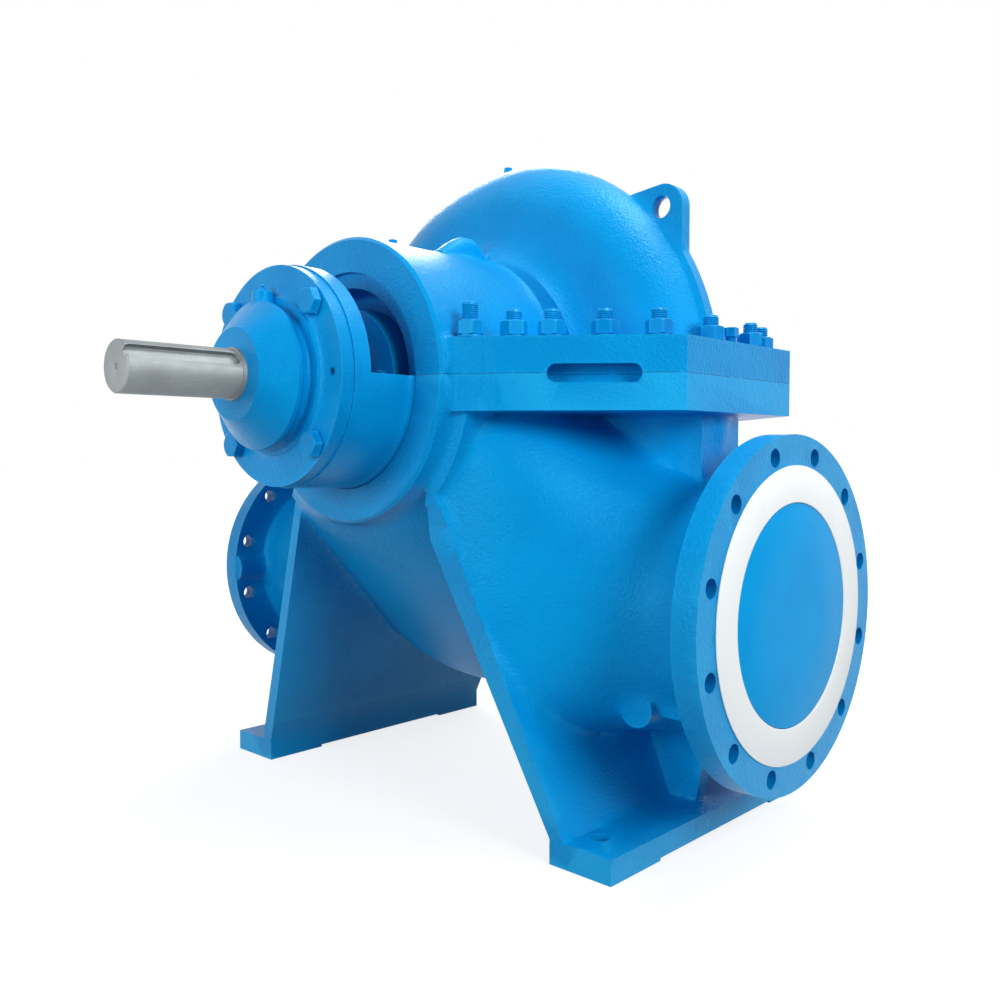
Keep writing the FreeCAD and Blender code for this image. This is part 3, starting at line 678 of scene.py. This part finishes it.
def glandNuts(name, nodeName, side):
    # the nuts that pull the gland in, each on its stud
    look = fixings
    form = bmesh.new()
    for low, high in islands(nodeName):
        place = standing(footOnEnd(low, high, side), (0, side, 0))
        height = high.y - low.y
        threadFrom = height * look["glandThreadFrom"]
        hexBody(form, place, high.x - low.x, 0, height * look["glandNutTo"], chamferBelow=True)
        threadedEnd(form, place, look["glandRadius"], threadFrom, height, look["glandPitch"])
    newFixing(name, form, nodeName)


def jackScrew(name, nodeName):
    look = fixings
    low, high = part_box(nodeName)
    place = standing(footBelow(low, high))
    height = high.z - low.z
    form = bmesh.new()
    threadedEnd(form, place, look["jackRadius"], 0, height * look["jackThreadTo"], look["jackPitch"])
    hexBody(form, place, look["jackAcross"], height * look["jackHeadFrom"], height)
    newFixing(name, form, nodeName)


def plug(name, nodeName):
    look = fixings
    low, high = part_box(nodeName)
    place = standing(footBelow(low, high))
    form = bmesh.new()
    washer(form, place, look["plugCollar"], look["plugCollarHeight"])
    hexBody(form, place, look["plugAcross"], look["plugCollarHeight"], high.z - low.z)
    newFixing(name, form, nodeName)


def greaseNipple(name, nodeName):
    look = nippleLook
    low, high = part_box(nodeName)
    place = standing(footBelow(low, high))
    height = high.z - low.z
    radius = (high.x - low.x) / 2
    form = bmesh.new()
    hexBody(form, place, radius * look["across"], 0, height * look["hexTop"])
    rings = [(height * up, radius * share) for up, share in look["rings"]]
    stack(form, place, rings, look["segments"])
    newFixing(name, form, nodeName)


stage("studs and bolts")
for nozzle in ("suction", "discharge"):
    for row in ("front", "rear", "side"):
        studRow(nozzle + row.capitalize() + "Studs", nozzle + "_" + row + "_studs")
    jackScrew(nozzle + "JackScrew", nozzle + "_jack_screw")
for end, side in (("drive", -1), ("rear", 1)):
    coverBolts(end + "CoverBolts", end + "_cover_bolts", side)
    greaseNipple(end + "GreaseNipple", end + "_grease_nipple")
    plug(end + "BarrelPlug", end + "_barrel_plug")
    gland = bevelCopy(end + "Gland", end + "_gland", fixings["glandEdge"])
    newPiece(end + "Gland", gland, "smooth", end + "_gland")
plug("ventPlug", "casing_vent_plug")
glandNuts("driveGlandNuts", "drive_gland_nuts", -1)
glandNuts("rearGlandNuts", "rear_gland_nuts", 1)

stage("shaft")
shaftLook = {"edge": 0.6 * mm, "edgeAngle": 40}
shaftMesh = bevelCopy("shaftRod", "shaft", shaftLook["edge"], shaftLook["edgeAngle"])
newPiece("shaftRod", shaftMesh, "steel", "shaft", body="rotor")


# Floor, light and camera

stageLook = {
    "floorSize": 60.0, "floorColour": plain(0.26, 0.27, 0.28), "floorRoughness": 0.9,
    "glowNear": plain(0.79, 0.79, 0.79), "glowFar": plain(1.0, 1.0, 1.0), "glowFrom": 0.8, "glowTo": 2.2,
    "worldLight": 0.16, "worldColour": plain(0.82, 0.94, 1.0),
    "cameraPlace": (1.04366, -1.11806, 0.49112), "cameraTilt": 87.417, "cameraTurn": 43.28,
    "lens": 35.16, "sensor": 36,
}
lamps = {
    "overhead": {"place": (0.6, 0.15, 2.3), "aim": (0.1, -0.05, 0.7), "wide": 0.6, "deep": 0.4, "power": 22},
    "behind": {"place": (-1.45, 1.25, 1.95), "aim": (-0.05, -0.2, 0.7), "wide": 1, "deep": 0.5, "power": 24},
    "back": {"place": (-1.5, 2.9, 1.3), "aim": (0.0, 0.0, 0.4), "wide": 2.0, "deep": 2.0, "power": 30},
    "front": {"place": (-0.2, -2.9, 1.05), "aim": (0.0, 0.0, 0.4), "wide": 1.5, "deep": 1.2, "power": 43},
    "right": {"place": (2.9, -0.6, 1.6), "aim": (0.2, 0.0, 0.4), "wide": 1.2, "deep": 1.2, "power": 59},
}

stage("floor and light")
floorMesh = bpy.data.meshes.new("floor")
half = stageLook["floorSize"] / 2
floorCorners = [(-half, -half, 0), (half, -half, 0), (half, half, 0), (-half, half, 0)]
floorMesh.from_pydata(floorCorners, [], [(0, 1, 2, 3)])
floor = bpy.data.objects.new("floor", floorMesh)
bpy.context.scene.collection.objects.link(floor)
# the floor takes the object's shadow, and glows towards white where the camera sees it
floorPaint = Paint("paleFloor", Roughness=stageLook["floorRoughness"], Base_Color=stageLook["floorColour"])
floorDistance = floorPaint.node("VectorMath", {"operation": "LENGTH"}, {0: floorPaint.place}, "Value")
glowColour = floorPaint.between(floorDistance.step(stageLook["glowFrom"], stageLook["glowTo"]),
                                stageLook["glowNear"], stageLook["glowFar"])
glow = floorPaint.node("Emission", inputs={"Color": glowColour, "Strength": floorPaint.seenDirectly()})
both = floorPaint.node("AddShader", inputs={0: Value(floorPaint, floorPaint.surface.outputs[0]), 1: glow})
floorPaint.fill(floorPaint.tree.nodes["Material Output"].inputs["Surface"], both)
floorMesh.materials.append(floorPaint.material)

# the world lights the object softly, and is white to the camera, in reflections and through glass
sky = Sky("softWhite")
dim = sky.node("Background", inputs={"Color": stageLook["worldColour"], "Strength": stageLook["worldLight"]})
white = sky.node("Background", inputs={"Color": plain(1, 1, 1), "Strength": 1.0})
shown = sky.node("MixShader", inputs={0: sky.seenDirectly(), 1: dim, 2: white})
sky.fill(sky.tree.nodes["World Output"].inputs["Surface"], shown)
bpy.context.scene.world = sky.world

for name, look in lamps.items():
    lamp = bpy.data.lights.new(name, "AREA")
    lamp.energy = look["power"]
    lamp.shape = "RECTANGLE"
    lamp.size = look["wide"]
    lamp.size_y = look["deep"]
    holder = bpy.data.objects.new(name, lamp)
    bpy.context.scene.collection.objects.link(holder)
    holder.location = look["place"]
    holder.rotation_euler = (Vector(look["aim"]) - Vector(look["place"])).to_track_quat("-Z", "Y").to_euler()

camera = bpy.data.objects.new("camera", bpy.data.cameras.new("camera"))
bpy.context.scene.collection.objects.link(camera)
camera.location = stageLook["cameraPlace"]
camera.rotation_euler = (math.radians(stageLook["cameraTilt"]), 0, math.radians(stageLook["cameraTurn"]))
camera.data.lens = stageLook["lens"]
camera.data.sensor_width = stageLook["sensor"]
bpy.context.scene.camera = camera
bpy.context.scene.view_settings.view_transform = "Standard"
